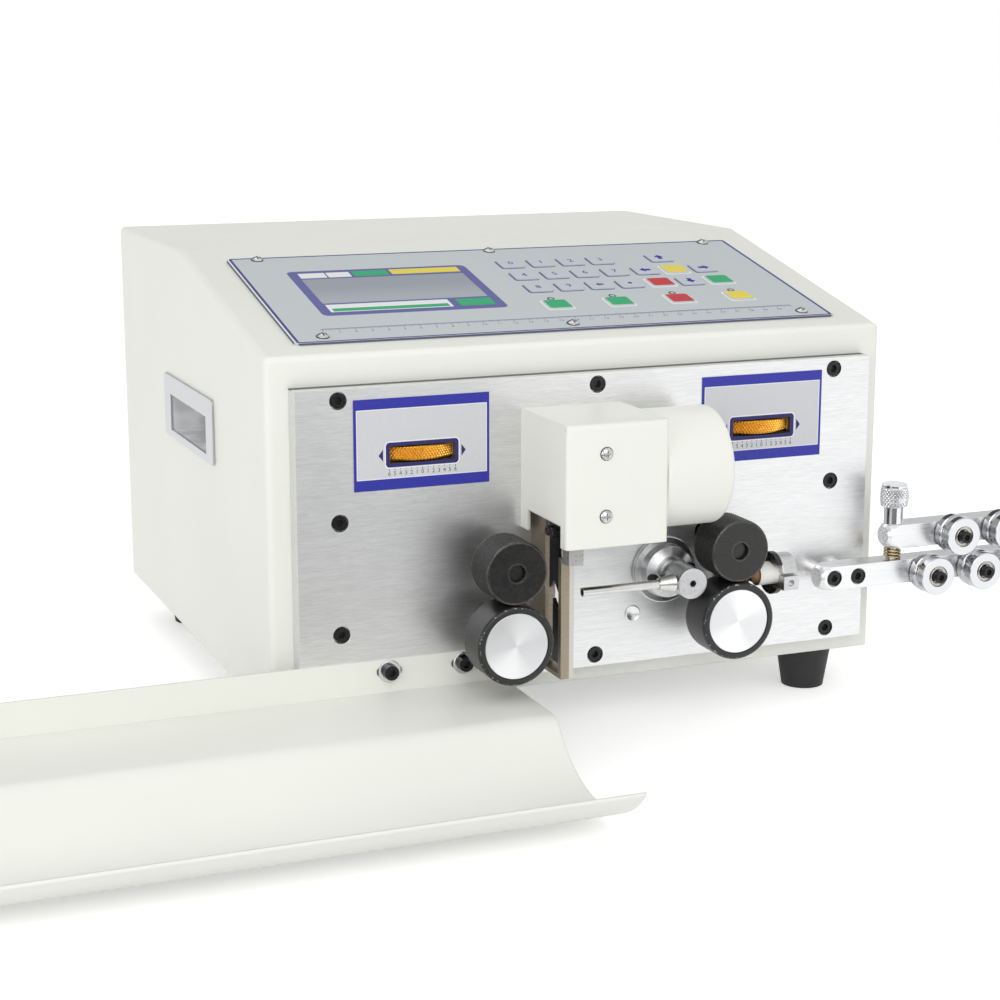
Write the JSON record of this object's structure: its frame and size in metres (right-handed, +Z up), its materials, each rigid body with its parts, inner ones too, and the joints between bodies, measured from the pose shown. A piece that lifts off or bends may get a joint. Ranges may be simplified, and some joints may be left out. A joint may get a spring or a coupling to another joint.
{
  "type": "wire cutting stripping machine",
  "caption": "Bench machine that feeds wire between driven rollers, cuts and strips it with V blades and drops it on a side tray.",
  "frame": {"origin": "middle of the underside of the whole part, on the bench", "axes": "+X along the wire towards the inlet side, +Y from front to back, +Z up"},
  "size_m": [0.8316, 0.5796, 0.282],
  "materials": {
    "cream_paint": "smooth semi-gloss powder coat",
    "brushed_aluminium": "fine straight brushing",
    "black_screw": "black oxide",
    "label_film": "printed film",
    "console_film": "printed membrane",
    "display_glass": "clear window over a grey display",
    "bright_steel": "bright plated",
    "black_rubber": "moulded",
    "black_steel": "blackened, knurled",
    "plain_steel": "machined",
    "brown_steel": "ground, brown tinted",
    "motor_black": "satin",
    "white_nylon": "turned",
    "gold_anodised": "diamond knurl",
    "board_green": "lacquered",
    "black_plastic": "moulded",
    "red_plastic": "moulded"
  },
  "bodies": {
    "machine": {"housing_cover": "cream_paint", "base_pan": "cream_paint", "rear_panel": "cream_paint", "cutter_guard": "cream_paint", "motor_cover": "cream_paint", "outlet_tray": "cream_paint", "front_plate": "brushed_aluminium", "swing_flange": "brushed_aluminium", "inlet_collar": "brushed_aluminium", "lower_bar": "brushed_aluminium", "bearing_frame": "brushed_aluminium", "socket_screws": "black_screw", "lower_axles": "black_screw", "scale_plates": "label_film", "console_panel": "console_film", "display_window": "display_glass", "cross_screws": "bright_steel", "carry_handles": "bright_steel", "rubber_feet": "black_rubber", "inlet_bracket": "black_steel", "blade_guide": "plain_steel", "straightener_posts": "plain_steel", "wheel_brackets": "plain_steel", "power_supply": "plain_steel", "blade_rails": "brown_steel", "feed_motors": "motor_black", "blade_motor": "motor_black", "inlet_bush": "white_nylon", "control_board": "board_green", "power_inlet": "black_plastic"},
    "left_drive": {"left_drive_tyre": "black_rubber", "left_drive_cap": "brushed_aluminium", "left_drive_shaft": "plain_steel"},
    "left_pressure": {"left_pressure_roller": "black_steel", "left_pressure_shaft": "plain_steel"},
    "left_carriage": {"left_carriage": "brushed_aluminium"},
    "left_gap_wheel": {"left_gap_wheel": "gold_anodised"},
    "right_drive": {"right_drive_tyre": "black_rubber", "right_drive_cap": "brushed_aluminium", "right_drive_shaft": "plain_steel"},
    "right_pressure": {"right_pressure_roller": "black_steel", "right_pressure_shaft": "plain_steel"},
    "right_carriage": {"right_carriage": "brushed_aluminium"},
    "right_gap_wheel": {"right_gap_wheel": "gold_anodised"},
    "pinion": {"blade_pinion": "plain_steel"},
    "upper_cutter": {"upper_holder": "plain_steel", "upper_blade": "black_screw"},
    "lower_cutter": {"lower_holder": "brown_steel", "lower_blade": "black_screw"},
    "swing_guide": {"swing_boss": "brushed_aluminium", "guide_tube": "bright_steel"},
    "straightener_upper": {"upper_bar": "brushed_aluminium", "upper_axles": "black_screw"},
    "knob": {"straightener_knob": "bright_steel"},
    "roller_1": {"guide_roller_1": "bright_steel"},
    "roller_2": {"guide_roller_2": "bright_steel"},
    "roller_3": {"guide_roller_3": "bright_steel"},
    "roller_4": {"guide_roller_4": "bright_steel"},
    "roller_5": {"guide_roller_5": "bright_steel"},
    "rocker": {"power_rocker": "red_plastic"}
  },
  "joints": [
    {"name": "left_feed", "type": "hinge", "parent": "machine", "child": "left_drive", "pos_m": [0.0127, -0.0832, 0.073], "axis": [0, 1, 0], "continuous": true},
    {"name": "left_gap_turn", "type": "hinge", "parent": "machine", "child": "left_gap_wheel", "pos_m": [-0.0263, -0.0667, 0.18], "axis": [0, 0, 1], "range_deg": [-2, 722]},
    {"name": "left_pressure_lift", "type": "slide", "parent": "machine", "child": "left_carriage", "axis": [0, 0, 1], "range_m": [0, 0.0025]},
    {"name": "left_pressure_spin", "type": "hinge", "parent": "left_carriage", "child": "left_pressure", "pos_m": [0.0127, -0.0832, 0.116], "axis": [0, 1, 0], "continuous": true},
    {"name": "right_feed", "type": "hinge", "parent": "machine", "child": "right_drive", "pos_m": [0.1557, -0.0832, 0.073], "axis": [0, 1, 0], "continuous": true},
    {"name": "right_gap_turn", "type": "hinge", "parent": "machine", "child": "right_gap_wheel", "pos_m": [0.1947, -0.0667, 0.18], "axis": [0, 0, 1], "range_deg": [-2, 722]},
    {"name": "right_pressure_lift", "type": "slide", "parent": "machine", "child": "right_carriage", "axis": [0, 0, 1], "range_m": [0, 0.0025]},
    {"name": "right_pressure_spin", "type": "hinge", "parent": "right_carriage", "child": "right_pressure", "pos_m": [0.1557, -0.0832, 0.116], "axis": [0, 1, 0], "continuous": true},
    {"name": "cutter_turn", "type": "hinge", "parent": "machine", "child": "pinion", "pos_m": [0.0842, -0.1292, 0.167], "axis": [1, 0, 0], "range_deg": [-15.5, 52.5]},
    {"name": "upper_cut", "type": "slide", "parent": "machine", "child": "upper_cutter", "axis": [0, 0, -1], "range_m": [-0.00274, 0.0095]},
    {"name": "lower_cut", "type": "slide", "parent": "machine", "child": "lower_cutter", "axis": [0, 0, 1], "range_m": [-0.0029, 0.0097]},
    {"name": "guide_swing", "type": "hinge", "parent": "machine", "child": "swing_guide", "pos_m": [0.1287, -0.1292, 0.09695], "axis": [0, 1, 0], "range_deg": [0, 15]},
    {"name": "straightener_press", "type": "slide", "parent": "machine", "child": "straightener_upper", "axis": [0, 0, 1], "range_m": [-0.005, 0]},
    {"name": "straightener_turn", "type": "hinge", "parent": "straightener_upper", "child": "knob", "pos_m": [0.2802, -0.1137, 0.1088], "axis": [0, 0, 1], "range_deg": [-1445, 5]},
    {"name": "roller_1_spin", "type": "hinge", "parent": "machine", "child": "roller_1", "pos_m": [0.2999, -0.1292, 0.08495], "axis": [0, 1, 0], "continuous": true},
    {"name": "roller_2_spin", "type": "hinge", "parent": "machine", "child": "roller_2", "pos_m": [0.3351, -0.1292, 0.08495], "axis": [0, 1, 0], "continuous": true},
    {"name": "roller_3_spin", "type": "hinge", "parent": "machine", "child": "roller_3", "pos_m": [0.3703, -0.1292, 0.08495], "axis": [0, 1, 0], "continuous": true},
    {"name": "roller_4_spin", "type": "hinge", "parent": "straightener_upper", "child": "roller_4", "pos_m": [0.3175, -0.1292, 0.10895], "axis": [0, 1, 0], "continuous": true},
    {"name": "roller_5_spin", "type": "hinge", "parent": "straightener_upper", "child": "roller_5", "pos_m": [0.3527, -0.1292, 0.10895], "axis": [0, 1, 0], "continuous": true},
    {"name": "rocker_turn", "type": "hinge", "parent": "machine", "child": "rocker", "pos_m": [0.2042, 0.2788, 0.104], "axis": [1, 0, 0], "range_deg": [-8, 8]}
  ],
  "couplings": [
    {"joint": "left_gap_turn", "follows": "left_pressure_lift", "rad_per_m": 5026.5},
    {"joint": "left_pressure_spin", "follows": "left_feed", "ratio": -1.2632},
    {"joint": "right_gap_turn", "follows": "right_pressure_lift", "rad_per_m": 5026.5},
    {"joint": "right_pressure_spin", "follows": "right_feed", "ratio": -1.2632},
    {"joint": "cutter_turn", "follows": "upper_cut", "rad_per_m": 95.238},
    {"joint": "lower_cut", "follows": "upper_cut", "ratio": 1},
    {"joint": "straightener_turn", "follows": "straightener_press", "rad_per_m": 5026.5}
  ]
}
